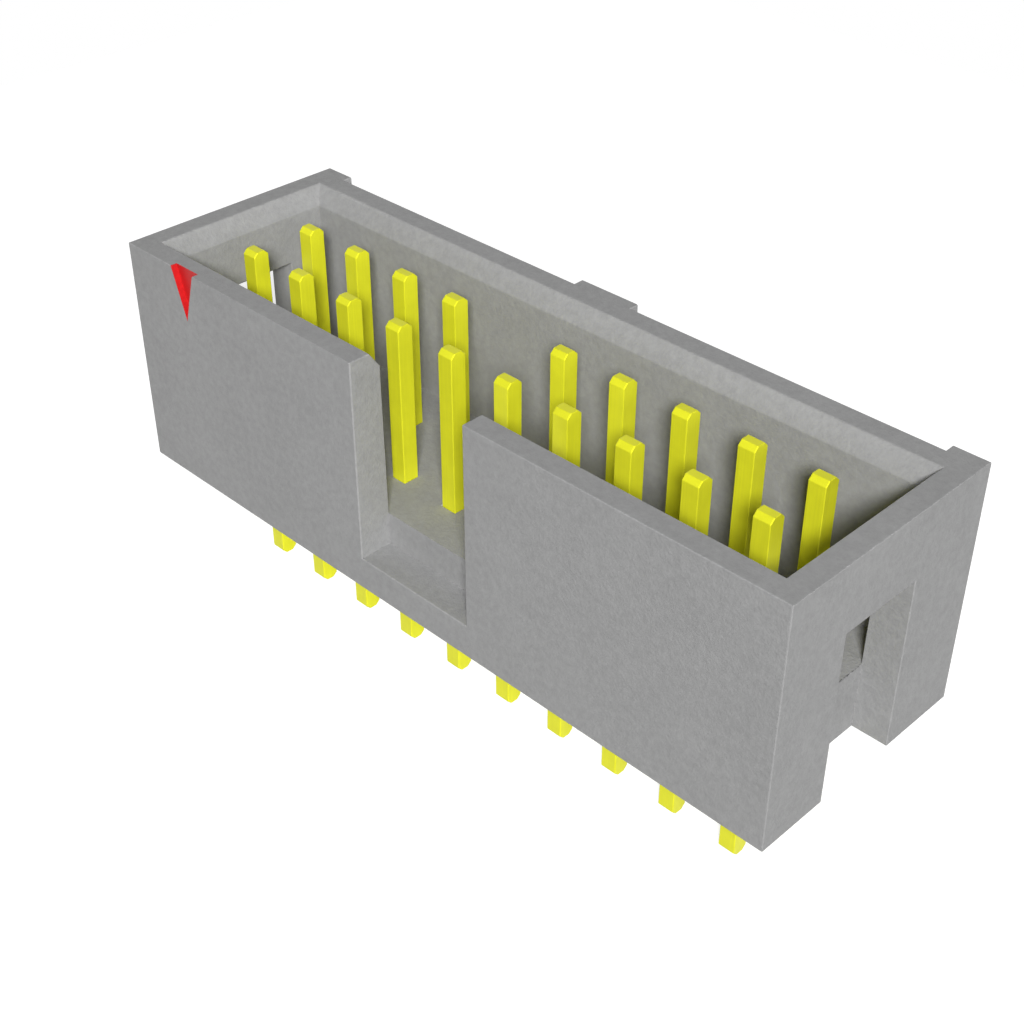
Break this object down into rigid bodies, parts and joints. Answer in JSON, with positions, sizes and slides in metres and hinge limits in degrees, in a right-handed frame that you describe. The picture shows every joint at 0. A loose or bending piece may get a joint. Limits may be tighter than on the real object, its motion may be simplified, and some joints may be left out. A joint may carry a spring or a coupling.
{
  "type": "pin header",
  "caption": "Shrouded pin header: a grey moulded box with a key notch, end slots and back ribs round a grid of square yellow posts with a vacant place, and a red corner mark.",
  "frame": {"origin": "centre of the post pattern on the housing's underside, the face that meets the circuit board", "axes": "+Z out of the open mouth, away from the board; +X along the two rows, from the marked end to the other; -Y is the front, with the key notch"},
  "size_m": [0.0292, 0.0092, 0.0135],
  "materials": {
    "housing": "moulded mid grey, fine texture",
    "contact": "bright yellow plating, satin",
    "mark": "red marking paint"
  },
  "bodies": {
    "root": {"housing": "housing", "pin_01": "contact", "pin_02": "contact", "pin_03": "contact", "pin_04": "contact", "pin_05": "contact", "pin_06": "contact", "pin_07": "contact", "pin_08": "contact", "pin_09": "contact", "pin_11": "contact", "pin_12": "contact", "pin_13": "contact", "pin_14": "contact", "pin_15": "contact", "pin_16": "contact", "pin_17": "contact", "pin_18": "contact", "pin_19": "contact", "pin_20": "contact", "pin_one_mark": "mark"}
  },
  "joints": []
}
